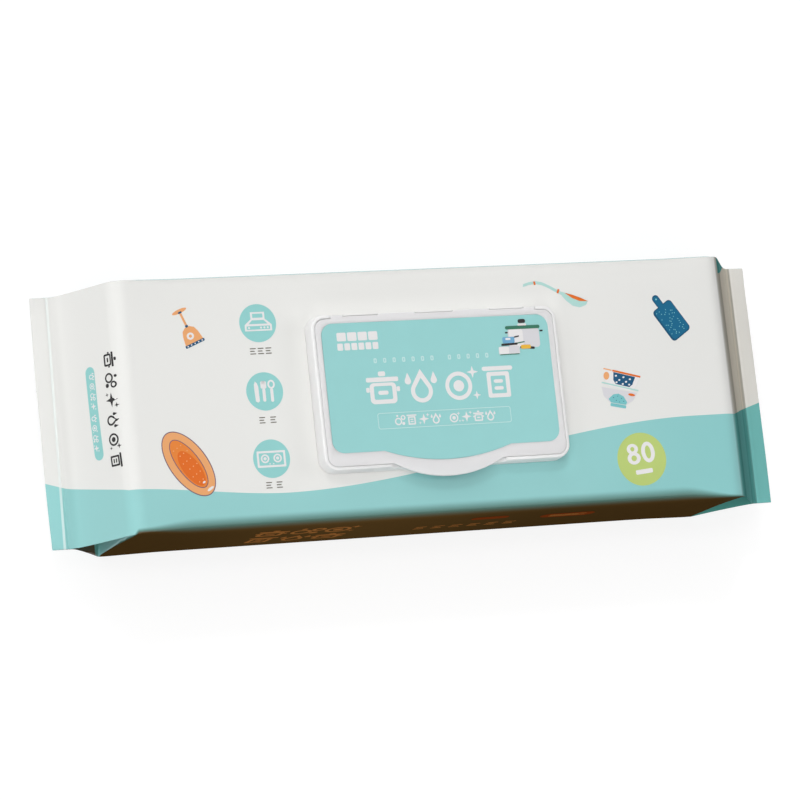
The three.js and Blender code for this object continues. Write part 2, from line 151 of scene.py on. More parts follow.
class Nodes:
    """A node tree in the making: nodes are added one at a time and linked by socket."""

    def add(self, kind, settings=None, **inputs):
        node = self.tree.nodes.new(kind)
        for name, value in (settings or {}).items():
            setattr(node, name, value)
        for name, value in inputs.items():
            self.put(node.inputs[name.replace("_", " ")], value)
        return node

    def put(self, socket, value):
        if isinstance(value, bpy.types.NodeSocket):
            self.tree.links.new(value, socket)
        elif socket.type == "RGBA" and len(value) == 3:
            socket.default_value = (*value, 1)
        else:
            socket.default_value = value

    def calc(self, operation, *values):
        node = self.tree.nodes.new("ShaderNodeMath")
        node.operation = operation
        for socket, value in zip(node.inputs, values):
            self.put(socket, value)
        return node.outputs[0]

    def times(self, *values):
        return functools.reduce(lambda first, second: self.calc("MULTIPLY", first, second), values)

    def largest(self, *values):
        return functools.reduce(lambda first, second: self.calc("MAXIMUM", first, second), values)

    def add_times(self, value, factor, extra):
        return self.calc("MULTIPLY_ADD", value, factor, extra)

    def minus(self, first, second):
        return self.calc("SUBTRACT", first, second)

    def size(self, value):
        return self.calc("ABSOLUTE", value)

    def ramp(self, value, low, high, start=0.0, end=1.0):
        """A smooth step of value from start at low to end at high."""
        node = self.add("ShaderNodeMapRange", {"interpolation_type": "SMOOTHSTEP"}, Value=value)
        for name, number in (("From Min", low), ("From Max", high), ("To Min", start), ("To Max", end)):
            node.inputs[name].default_value = number
        return node.outputs[0]

    def between(self, value, rise, fall):
        """A share that is 1 between a rise and a fall, each given as the values at its foot and its top."""
        return self.times(self.ramp(value, *rise), self.ramp(value, *fall))

    def seen(self):
        """1 for the rays that show the white background, by themselves, in a shine or through glass."""
        path = self.add("ShaderNodeLightPath").outputs
        return self.largest(path["Is Camera Ray"], path["Is Glossy Ray"], path["Is Transmission Ray"])

    def axes(self):
        """The place's three axes, in the tree's own unit."""
        scaled = self.add("ShaderNodeVectorMath", {"operation": "SCALE"})
        self.put(scaled.inputs[0], self.place)
        scaled.inputs["Scale"].default_value = self.unit
        return self.add("ShaderNodeSeparateXYZ", Vector=scaled.outputs[0]).outputs


class Sky(Nodes):
    """The room's light, by the direction that it comes from."""

    unit = 1

    def __init__(self, world):
        self.tree = world.node_tree
        self.place = self.add("ShaderNodeTexCoord").outputs["Generated"]

    def band(self, value, low, high, blur=0.02):
        return self.between(value, (low - blur, low + blur), (high + blur, high - blur))


class Finish(Nodes):
    """A material, with its place in millimetres."""

    unit = 1 / MM

    def __init__(self, name, roughness, specular=0.5):
        self.material = bpy.data.materials.new(name)
        self.material.use_nodes = True
        self.tree = self.material.node_tree
        self.shader = self.tree.nodes["Principled BSDF"]
        self.shader.inputs["Roughness"].default_value = roughness
        self.shader.inputs["Specular IOR Level"].default_value = specular
        self.place = self.add("ShaderNodeTexCoord").outputs["Object"]

    def blend(self, share, first, second):
        node = self.tree.nodes.new("ShaderNodeMix")
        node.data_type = "RGBA"
        self.put(node.inputs[0], share)
        self.put(node.inputs[6], first)
        self.put(node.inputs[7], second)
        return node.outputs[2]

    def noise(self, scale, detail=2.0, stretch=(1, 1, 1)):
        mapping = self.add("ShaderNodeMapping", Vector=self.place)
        mapping.inputs["Scale"].default_value = stretch
        node = self.add("ShaderNodeTexNoise", Vector=mapping.outputs[0])
        node.inputs["Scale"].default_value = scale
        node.inputs["Detail"].default_value = detail
        return node.outputs["Fac"]

    def colour(self, value):
        self.put(self.shader.inputs["Base Color"], value)

    def dull(self, share, low, high):
        """Roughness from low to high, by a pattern's share."""
        node = self.add("ShaderNodeMapRange", Value=share)
        node.inputs["To Min"].default_value = low
        node.inputs["To Max"].default_value = high
        self.put(self.shader.inputs["Roughness"], node.outputs[0])

    def bump(self, height, strength, distance):
        node = self.add("ShaderNodeBump", Height=height, Strength=strength, Distance=distance)
        self.put(self.shader.inputs["Normal"], node.outputs[0])


def soft_film(name, settings, specular=0.5):
    """Glossy film with a faint ripple: the base of every printed panel."""
    finish = Finish(name, settings.gloss, specular)
    finish.dull(finish.noise(60, 3), settings.gloss - 0.03, settings.gloss + 0.04)
    finish.bump(finish.noise(38, 4, (0.6, 1, 1)), 0.06, 0.5 * MM)
    return finish


def wave_line(finish, x):
    """The front edge of the white print, in y, along the pack."""
    rise = finish.ramp(x, -62.0, 104.0, -33.9, -14.3)
    lift = finish.ramp(x, -60.0, -124.0, 0.0, 4.7)
    past_fold = finish.largest(finish.minus(finish.size(x), HALF_LENGTH), 0.0)
    return finish.add_times(past_fold, 0.31, finish.calc("ADD", rise, lift))


# Colours of the film by place, most of them painted light or shade: "white" and "teal" name the print that each
# belongs to.
LIT_WHITE, LIT_TEAL = printed(241, 241, 238), printed(149, 210, 209)
DIM_WHITE = printed(216, 216, 213)
# Painted highlight along the left seal's fold line.
SEAM_HIGHLIGHT_WHITE = printed(230, 238, 236)
# Painted shade at the left panel's foot and on the left seal.
LEFT_FOOT_SHADE_WHITE, LEFT_FOOT_SHADE_TEAL = printed(217, 217, 214), printed(134, 190, 189)
LEFT_SEAL_SHADE_WHITE = printed(223, 223, 220)
# Painted shade of the right end, which faces away from the light, and of its seal.
RIGHT_PANEL_SHADE_WHITE, RIGHT_PANEL_SHADE_TEAL = printed(240, 233, 217), printed(108, 180, 176)
RIGHT_FOOT_SHADE_WHITE, RIGHT_FOOT_SHADE_TEAL = printed(210, 203, 188), printed(84, 150, 146)
RIGHT_SEAL_SHADE_WHITE, RIGHT_SEAL_SHADE_TEAL = printed(220, 218, 212), printed(103, 180, 176)
# Painted shade along the right end's fold and its seal's foot.
FOLD_SHADE_GREY, FOLD_SHADE_TEAL = printed(150, 146, 136), printed(66, 132, 128)
# Painted shade of the front's rounded edge.
EDGE_SHADE_TEAL = printed(90, 138, 130)
# Painted shade of the front gussets.
LEFT_FLAP_SHADE_TEAL, LEFT_FOLD_SHADE_TEAL = printed(98, 156, 148), printed(78, 120, 107)
RIGHT_FLAP_SHADE_TEAL = printed(76, 150, 141)


def right_tuck(finish, x, y):
    """Teal where the back gusset tucks under the right end panel."""
    border = finish.ramp(x, 120.6, 137.0, 40.2, 46.6)
    return finish.times(finish.ramp(x, 121.0, 121.6), finish.ramp(finish.minus(y, border), 0.0, 0.2))


def fold_shade(finish, x):
    """Painted shade along the right end's fold and along the foot of its seal."""
    fold = finish.between(x, (119.4, 120.6), (126, 122.5))
    foot = finish.between(x, (136.8, 137.5), (138.5, 137.9))
    return finish.times(finish.largest(fold, foot), 0.75)


def front_edge(finish, x, y, base, dark):
    """Painted shade on the rounded front edge, from the base through darker teal to the dark panel: a narrower fade
    near the ends.
    """
    right = finish.ramp(x, 95, 119)
    left = finish.ramp(x, -95, -119)
    corner = finish.times(finish.ramp(x, -118.6, -121.0), 2.4)
    start = finish.add_times(left, 2.2, finish.add_times(right, 4.2, 41.0))
    start = finish.calc("ADD", start, corner)
    end = finish.add_times(left, -1.0, finish.add_times(right, 0.3, 46.0))
    end = finish.calc("ADD", end, corner)
    reach = finish.calc("DIVIDE", finish.minus(finish.times(y, -1), start), finish.minus(end, start))
    within = finish.ramp(finish.size(x), HALF_LENGTH + 1.5, HALF_LENGTH - 0.5)
    shade = finish.blend(finish.times(finish.ramp(reach, -0.1, 0.6), within), base, EDGE_SHADE_TEAL)
    return finish.blend(finish.times(finish.ramp(reach, 0.4, 1), within), shade, dark)


def right_end(finish, x, white, teal):
    """The white and the teal of the right end, with painted shade of the end that faces away from the light: warmer
    on its panel, darker at the panel's foot and on the seal.
    """
    panel, foot, seal = finish.ramp(x, 120, 123), finish.ramp(x, 134.3, 136.2), finish.ramp(x, 137.6, 138.4)
    for share, shade_white, shade_teal in ((panel, RIGHT_PANEL_SHADE_WHITE, RIGHT_PANEL_SHADE_TEAL), (foot, RIGHT_FOOT_SHADE_WHITE, RIGHT_FOOT_SHADE_TEAL),
                                       (seal, RIGHT_SEAL_SHADE_WHITE, RIGHT_SEAL_SHADE_TEAL)):
        white = finish.blend(share, white, shade_white)
        teal = finish.blend(share, teal, shade_teal)
    return white, teal


def left_end(finish, x, white, teal):
    """The white and the teal of the left end, with painted shade at the foot of its panel and on its seal, against
    the light that gathers between the two.
    """
    foot, seal = finish.ramp(x, -133.6, -136.4), finish.ramp(x, -137.9, -138.8)
    teal = finish.blend(finish.times(foot, finish.minus(1, seal)), teal, LEFT_FOOT_SHADE_TEAL)
    return finish.blend(seal, finish.blend(foot, white, LEFT_FOOT_SHADE_WHITE), LEFT_SEAL_SHADE_WHITE), teal


def painted_seam_highlight(finish, x, y):
    """Share of the painted highlight along the left seal's fold line."""
    off = finish.size(finish.add_times(y, -0.0206, finish.calc("ADD", x, 138.35)))
    return finish.times(finish.ramp(off, 0.6, 0.3), 0.6)


def beside_lid(finish, x, y, share, base):
    """The film close round the lid: a little lighter in its shadow, dimmer where its left wall throws light."""
    left, right, front, back = FRAME_LOW.x, FRAME_HIGH.x, FRAME_LOW.y, FRAME_HIGH.y
    shadow = finish.times(finish.between(x, (left, left + 8), (right + 7, right)),
                          finish.between(y, (front - 8, front), (back + 9, back)))
    wall = finish.times(finish.between(x, (left - 16, left - 1), (left + 3, left)),
                        finish.between(y, (front - 5, front + 5), (back + 4, back - 6)))
    return finish.blend(wall, finish.blend(shadow, base, finish.blend(share, LIT_WHITE, LIT_TEAL)), DIM_WHITE)


def top_print(settings, name="film_top_print", specular=0.5):
    """The film's top and ends: white behind a wavy teal band, with painted shade where it folds, on both ends,
    towards the right and on the rounded front edge, a painted highlight along the left seal, and painted light and
    shade round the lid.
    """
    finish = soft_film(name, settings, specular)
    x, y, _ = finish.axes()
    front_share = finish.ramp(finish.minus(wave_line(finish, x), y), -0.06, 0.06)
    near_end = finish.largest(finish.ramp(x, -110, -119), finish.ramp(x, HALF_LENGTH - 1, HALF_LENGTH + 1))
    back_edge = finish.add_times(near_end, 0.8, HALF_WIDTH + 0.2)
    back_share = finish.ramp(finish.minus(y, back_edge), 0.0, 0.2)
    # Random tone, with painted shade that darkens the film towards the right end.
    thin = finish.largest(finish.times(finish.noise(9, 3), 0.5), finish.ramp(x, 20, 118))
    white = finish.blend(thin, settings.white, shaded(settings.white, 0.94))
    teal = finish.blend(thin, settings.teal, shaded(settings.teal, 0.80, 0.91, 0.915))
    white, teal = left_end(finish, x, *right_end(finish, x, white, teal))
    share = finish.largest(front_share, back_share, right_tuck(finish, x, y))
    base = beside_lid(finish, x, y, share, finish.blend(share, white, teal))
    # Painted highlight along the left seal's fold line.
    base = finish.blend(painted_seam_highlight(finish, x, y), base, SEAM_HIGHLIGHT_WHITE)
    # Painted shade along the right end's fold and its seal's foot.
    base = finish.blend(fold_shade(finish, x), base, finish.blend(share, FOLD_SHADE_GREY, FOLD_SHADE_TEAL))
    finish.colour(front_edge(finish, x, y, base, settings.front))
    return finish.material


def side_teal(settings):
    """Teal sides and gussets: the front gussets are darker with painted shade, the left one darker higher up and
    with the front's painted shade below its fold.
    """
    finish = soft_film("film_side_print", settings, 0.1)
    x, y, z = finish.axes()
    teal = finish.blend(finish.noise(11, 3), settings.teal, shaded(settings.teal, 0.93))
    past_fold = finish.minus(finish.size(x), HALF_LENGTH)
    gusset = finish.times(finish.ramp(past_fold, -0.3, 0.1), finish.ramp(y, -20, -32))
    tucked = finish.ramp(finish.add_times(z, -0.299, past_fold), 0.0, 0.5)
    left_flap = finish.blend(finish.ramp(z, 8, 30), LEFT_FLAP_SHADE_TEAL, LEFT_FOLD_SHADE_TEAL)
    left_flap = finish.blend(tucked, left_flap, settings.front)
    flap = finish.blend(finish.ramp(x, -5, 5), left_flap, RIGHT_FLAP_SHADE_TEAL)
    finish.colour(finish.blend(gusset, teal, flap))
    return finish.material


def side_dark(settings):
    """The front's painted shade, dark brown, with a painted glow of light left of its middle."""
    finish = soft_film("film_front_painted_shade", settings, 0.0)
    x, y, _ = finish.axes()
    # Painted light: a glow left of the front's middle.
    glow = finish.between(x, (-110, -40), (60, -30))
    dark = finish.blend(finish.noise(16, 3, (0.4, 1, 1)), settings.front, shaded(settings.front, 0.78))
    dark = finish.blend(glow, dark, shaded(settings.front, 1.2))
    finish.colour(front_edge(finish, x, y, settings.teal, dark))
    return finish.material


def under_print(settings):
    """The white underside, with a teal border along the front and the back."""
    finish = soft_film("film_underside_print", settings)
    y = finish.axes()[1]
    border = finish.ramp(finish.size(y), UNDERSIDE_BORDER - 0.1, UNDERSIDE_BORDER + 0.1)
    white = finish.blend(finish.noise(9, 3), settings.white, shaded(settings.white, 0.97))
    finish.colour(finish.blend(border, white, settings.teal))
    return finish.material


def moulded(name, colour, roughness):
    """Moulded lid plastic with a satin grain."""
    finish = Finish(name, roughness)
    finish.colour(finish.blend(finish.noise(14, 2), colour, shaded(colour, 0.975)))
    finish.dull(finish.noise(900, 2), roughness - 0.04, roughness + 0.06)
    finish.bump(finish.noise(2600, 2), 0.06, 0.04 * MM)
    finish.shader.inputs["Subsurface Weight"].default_value = 0.8
    finish.shader.inputs["Subsurface Radius"].default_value = (1, 1, 1)
    finish.shader.inputs["Subsurface Scale"].default_value = 2 * MM
    return finish.material


def plain_ink(name, colour, roughness=0.38, specular=0.5):
    """A printing ink with the slight unevenness of a run."""
    finish = Finish(name, roughness, specular)
    finish.colour(finish.blend(finish.noise(120, 3), colour, shaded(colour, 0.95)))
    finish.dull(finish.noise(400, 2), roughness - 0.04, roughness + 0.05)
    return finish.material


INK_COLOURS = {
    "white": (231, 229, 229),
    "teal": (146, 206, 204),
    "olive": (112, 108, 98),
    "black": (48, 46, 47),
    "orange": (222, 108, 36),
    "amber": (228, 132, 58),
    "peach": (232, 166, 110),
    "mauve": (112, 88, 112),
    "navy": (26, 82, 118),
    "blue": (18, 98, 134),
    "deep_blue": (14, 78, 110),
    "foam": (120, 192, 196),
    "mint": (176, 216, 210),
    "pale": (196, 226, 224),
    "sky": (112, 168, 204),
    "yellow": (232, 180, 66),
    "green": (58, 116, 94),
    "lime": (185, 204, 119),
    "grey": (214, 213, 217),
    "brown": (168, 110, 56),
    "rust": (126, 58, 22),
}
# Brown and rust are the front print's white and orange with painted shade, as the front lies in shade; they get no
# shine.
SHADED_MATT_INKS = ("brown", "rust")


def ink(name):
    found = bpy.data.materials.get(f"ink_{name}")
    specular = 0.0 if name in SHADED_MATT_INKS else 0.25
    return found or plain_ink(f"ink_{name}", printed(*INK_COLOURS[name]), specular=specular)


# Modelling steps


def deselect_all():
    if bpy.context.object and bpy.context.object.mode != "OBJECT":
        bpy.ops.object.mode_set(mode="OBJECT")
    bpy.ops.object.select_all(action="DESELECT")


def work_on(*pieces):
    deselect_all()
    for piece in pieces:
        piece.select_set(True)
    bpy.context.view_layer.objects.active = pieces[0]


def edit(piece, *steps):
    """Runs mesh operators on all of a piece. Each step is an operator and its settings."""
    work_on(piece)
    bpy.ops.object.mode_set(mode="EDIT")
    for operator, settings in steps:
        bpy.ops.mesh.select_all(action="SELECT")
        operator(**settings)
    bpy.ops.object.mode_set(mode="OBJECT")


def apply_modifier(piece, kind, **settings):
    work_on(piece)
    modifier = piece.modifiers.new(kind.lower(), kind)
    for name, value in settings.items():
        setattr(modifier, name, value)
    bpy.ops.object.modifier_apply(modifier=modifier.name)


def settle(piece):
    """Puts a piece's place into its mesh."""
    work_on(piece)
    bpy.ops.object.transform_apply(location=True, rotation=True, scale=True)


def copy_of_node(node, name):
    piece = bpy.data.objects.new(name, frame["nodes"][node].data.copy())
    bpy.context.scene.collection.objects.link(piece)
    piece.data.materials.clear()
    work_on(piece)
    bpy.ops.mesh.customdata_custom_splitnormals_clear()
    edit(piece, (bpy.ops.mesh.remove_doubles, {"threshold": 1e-6}),
         (bpy.ops.mesh.tris_convert_to_quads, {"face_threshold": 0.35, "shape_threshold": 0.9}))
    return piece


# Flat printed shapes: outlines in millimetres


def oval(cx, cy, rx, ry=None, turn=0, steps=36):
    ry = ry or rx
    points = [(rx * math.cos(2 * math.pi * i / steps), ry * math.sin(2 * math.pi * i / steps))
              for i in range(steps)]
    return moved(points, cx, cy, turn)


def moved(points, cx, cy, turn=0):
    c, s = math.cos(math.radians(turn)), math.sin(math.radians(turn))
    return [(cx + c * x - s * y, cy + s * x + c * y) for x, y in points]


def box(cx, cy, width, height, radius=0.0, turn=0, steps=5):
    radius = min(radius, width / 2, height / 2)
    x, y = width / 2 - radius, height / 2 - radius
    if radius == 0:
        return moved([(x, y), (-x, y), (-x, -y), (x, -y)], cx, cy, turn)
    points = []
    for corner, (sx, sy) in enumerate([(1, 1), (-1, 1), (-1, -1), (1, -1)]):
        for i in range(steps + 1):
            angle = math.pi / 2 * (corner + i / steps)
            points.append((sx * x + radius * math.cos(angle), sy * y + radius * math.sin(angle)))
    return moved(points, cx, cy, turn)


def dash(x0, y0, x1, y1, thick):
    """A straight stroke with round ends."""
    length = math.hypot(x1 - x0, y1 - y0)
    turn = math.degrees(math.atan2(y1 - y0, x1 - x0))
    return box((x0 + x1) / 2, (y0 + y1) / 2, length + thick, thick, thick / 2, turn)


def dashes(cx, cy, width, height, thick):
    """Three short strokes, the middle one shorter, that stand for one printed word."""
    gap = (height - thick) / 2
    return [box(cx + shift, cy + row * gap, width * share, thick, thick / 2)
            for row, share, shift in ((1, 1.0, 0), (0, 0.8, -width * 0.1), (-1, 1.0, 0))]


def drop(cx, cy, radius, reach):
    """A drop: a round of the radius under a point at the reach above its middle."""
    edge = math.asin(radius / reach)
    arc = [math.pi - edge + (math.pi + 2 * edge) * i / 30 for i in range(31)]
    return [(cx, cy + reach)] + [(cx + radius * math.cos(a), cy + radius * math.sin(a)) for a in arc]


def spark(cx, cy, reach):
    """A star of four points."""
    radii = (reach, reach * 0.33) * 4
    return [(cx + math.cos(math.pi * i / 4) * r, cy + math.sin(math.pi * i / 4) * r) for i, r in enumerate(radii)]


SIGNS = {
    "pot": [box(0, 5.1, 2.8, 1.8, 0.6), box(0, 3.0, 12.6, 1.7, 0.5), box(0, -2.1, 10.4, 7.8, 1.6),
            box(0, -1.9, 7.2, 5.0, 0.6), box(-5.95, -0.7, 1.3, 1.8, 0.4), box(5.95, -0.7, 1.3, 1.8, 0.4),
            box(0, -1.9, 4.0, 1.5, 0.7)],
    "drops": [drop(0, -2.0, 4.3, 8.2), drop(0, -2.0, 2.7, 4.9), *(drop(x, 1.9, 1.25, 3.2) for x in (-5.1, 5.1))],
    "plate": [oval(-0.8, -0.8, 5.3, steps=48), oval(-0.8, -0.8, 3.8), oval(-0.8, -0.8, 2.1),
              spark(5.1, 4.1, 2.3), spark(6.0, -4.6, 1.6)],
    "cloth": [box(0, 5.0, 12.2, 1.6, 0.8), box(0, -1.1, 9.0, 9.6, 0.8), box(0, -1.1, 5.9, 6.6, 0.4),
              dash(-1.2, 0.2, 1.2, 0.2, 1.3), dash(-1.2, -2.4, 1.2, -2.4, 1.3)],
    "bubbles": [oval(-1.7, -1.4, 4.3), oval(-1.7, -1.4, 2.8), oval(4.3, 2.8, 2.9), oval(4.3, 2.8, 1.5),
                oval(4.4, -3.9, 1.8), oval(-2.6, 5.0, 1.2)],
    "spark": [spark(0, 0, 6.2), spark(5.0, 4.6, 2.2), spark(-5.0, -4.4, 1.8)],
}


def sign(name, scale):
    return [[(x * scale, y * scale) for x, y in outline] for outline in SIGNS[name]]


class PrintSheet:
    """Flat shapes printed on a surface, each ink's by its layer. Draw is a function that lays them."""

    def __init__(self, draw):
        self.layers = []
        draw(self)

    def lay(self, ink_name, *outlines, level=0, shift=(0, 0), turn=0):
        self.layers.append((ink_name, level, [moved(o, *shift, turn) for o in outlines]))

    def at(self, x, y, turn=0, **settings):
        """A function that lays shapes of one drawing, drawn round their own origin."""
        return functools.partial(self.lay, shift=(x, y), turn=turn, **settings)

    def press(self, name, body, place, onto=None, along="z", cuts=(), columns=()):
        """Makes the shapes one thin piece that rides on the body.

        Place carries the sheet to the pack. Onto is the surface that the print is laid on, along
        an axis, and cuts and columns are the sheet's Y and X where the print may bend with it.
        """
        lines = [((0, line, 0), (0, 1, 0)) for line in cuts] + [((line, 0, 0), (1, 0, 0)) for line in columns]
        parts = [self.cut_layer(f"{name}_{i}", i, place, onto, along, lines) for i in range(len(self.layers))]
        work_on(*parts)
        if len(parts) > 1:
            bpy.ops.object.join()
        piece = bpy.context.view_layer.objects.active
        piece.name = name
        piece.data.name = name
        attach(piece, body)
        return piece

    def cut_layer(self, name, index, place, onto, along, lines):
        """One layer's outlines, filled and given their thickness."""
        ink_name, level, outlines = self.layers[index]
        curve = bpy.data.curves.new(name, "CURVE")
        curve.dimensions = "2D"
        curve.fill_mode = "BOTH"
        for outline in outlines:
            spline = curve.splines.new("POLY")
            spline.points.add(len(outline) - 1)
            for point, (x, y) in zip(spline.points, outline):
                point.co = (x, y, 0, 1)
            spline.use_cyclic_u = True
        flat = bpy.data.objects.new(name, curve)
        bpy.context.scene.collection.objects.link(flat)
        work_on(flat)
        bpy.ops.object.convert(target="MESH")
        part = bpy.context.view_layer.objects.active
        edit(part, (bpy.ops.mesh.remove_doubles, {"threshold": 1e-4}))
        for point, normal in lines:
            edit(part, (bpy.ops.mesh.bisect, {"plane_co": point, "plane_no": normal}))
        self.face_up(part)
        part.matrix_world = place @ Matrix.Diagonal((MM, MM, MM, 1))
        settle(part)
        lift = (INK_LIFT + INK_LAYER * level) * MM
        if onto:
            apply_modifier(part, "SHRINKWRAP", target=onto, wrap_method="PROJECT", wrap_mode="ABOVE_SURFACE",
                           use_project_x=along == "x", use_project_y=along == "y", use_project_z=along == "z",
                           use_negative_direction=True, use_positive_direction=True, offset=lift)
        else:
            normal = (place.to_3x3() @ Vector((0, 0, 1))).normalized()
            part.matrix_world = Matrix.Translation(normal * lift)
            settle(part)
        apply_modifier(part, "SOLIDIFY", thickness=INK_DEPTH * MM, offset=1.0)
        part.data.materials.append(ink(ink_name))
        return part

    def face_up(self, part):
        if part.data.polygons and part.data.polygons[0].normal.z < 0:
            edit(part, (bpy.ops.mesh.flip_normals, {}))


# Film pouch


def film_panel(centre, normal):
    """Which printed panel a face of the pouch belongs to: top, side, front or underside."""
    reach = abs(centre.x) - HALF_LENGTH
    if reach <= 0.2:
        if normal.y < -0.62:
            return FRONT
        if normal.y > 0.94:
            return SIDE
        if normal.z < -0.7:
            return UNDERSIDE
        return TOP if normal.z > 0.25 else SIDE
    on_fin = reach > PANEL_RUN + 1.5
    if reach > SEAL_RIM and abs(normal.x) > 0.6:
        return TOP
    if normal.z > 0.3 and (on_fin or centre.z > FIN_HEIGHT + 0.45):
        return RIGHT_END if centre.x > 0 and not on_fin else TOP
    if normal.z < -0.3 and (on_fin or centre.z < FIN_HEIGHT - 0.45):
        return UNDERSIDE
    return SIDE


def share_of(value, whole):
    """How much of the whole a value is, from 0 to 1."""
    return max(0, min(1, value / whole))


def smooth(share):
    return share * share * (3 - 2 * share)


class WIPES_OT_film_pouch(bpy.types.Operator):
    """Make the film pouch, with its printed panels and folded ends"""

    bl_idname = "wipes_pack.film_pouch"
    bl_label = "Film pouch"

    def execute(self, context):
        settings = context.scene.wipes_film
        pouch = copy_of_node("film_pack", "film_pouch")
        for material in (top_print(settings), side_teal(settings), side_dark(settings), under_print(settings),
                         top_print(settings, "film_right_end_print", 0.0)):
            pouch.data.materials.append(material)
        for face in pouch.data.polygons:
            face.material_index = film_panel(face.center / MM, face.normal)
        self.fit_sides(pouch)
        self.pull_corner(pouch)
        self.draw_in_ends(pouch)
        self.thin_seals(pouch)
        apply_modifier(pouch, "SUBSURF", levels=1, render_levels=1, boundary_smooth="PRESERVE_CORNERS")
        work_on(pouch)
        bpy.ops.object.shade_smooth_by_angle(angle=math.radians(40))
        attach(pouch, "pack")
        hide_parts("film_pack")
        return {"FINISHED"}

    def fit_sides(self, pouch):
        """A crisper top edge at the back, set further back, and a front side that leans out at its foot."""
        for vertex in pouch.data.vertices:
            x, y, z = vertex.co / MM
            reach = abs(x) - HALF_LENGTH
            middle = smooth(share_of(-reach, EDGE_RUN))
            radius = CORNER_RADIUS + (EDGE_RADIUS - CORNER_RADIUS) * middle
            out, up = y - HALF_WIDTH + radius, z - POUCH_TOP + CROWN_DROP * middle + radius
            if out > 0 and up > 0:
                crisp = math.hypot(out, up) / (out ** 5 + up ** 5) ** 0.2
                vertex.co.y += out * (crisp - 1) * MM
                vertex.co.z += up * (crisp - 1) * MM
            end = share_of(PANEL_RUN - reach, PANEL_RUN)
            edge = share_of(abs(y) - 30, HALF_WIDTH - 30) ** 2 * end
            if y > 0:
                vertex.co.y += (0.5 + 0.45 * middle) * edge * min(1, z / 45) ** 3 * MM
            else:
                vertex.co.y -= 1.0 * edge * max(0, 1 - z / 30) * MM

    def pull_corner(self, pouch):
        """The fold draws the front left corner in a little at its top."""
        for vertex in pouch.data.vertices:
            x, y, z = vertex.co / MM
            reach = -x - HALF_LENGTH
            along = 1 - abs(reach) / (EDGE_RUN if reach < 0 else SEAL_START)
            if along > 0 and y < 0:
                share = smooth(along) * (z / POUCH_TOP) ** 2 * min(-y / HALF_WIDTH, 1) ** 4
                vertex.co.y += 0.9 * share * MM

    def draw_in_ends(self, pouch):
        """The seals stand a little nearer at the back than at the front."""
        for vertex in pouch.data.vertices:
            x, y, _ = vertex.co / MM
            share = share_of(abs(x) - HALF_LENGTH + END_REACH, END_REACH)
            near, slope = (0.1, 0.95) if x < 0 else (0.15, 0.4)
            vertex.co.x -= math.copysign(share * share * (near + slope * y / HALF_WIDTH) * MM, x)

    def thin_seals(self, pouch):
        """The seals thin out to their tips."""
        for vertex in pouch.data.vertices:
            x, _, z = vertex.co / MM
            vertex.co.z += (FIN_HEIGHT - z) * share_of(abs(x) - HALF_LENGTH - SEAL_START, 6) * 0.65 * MM


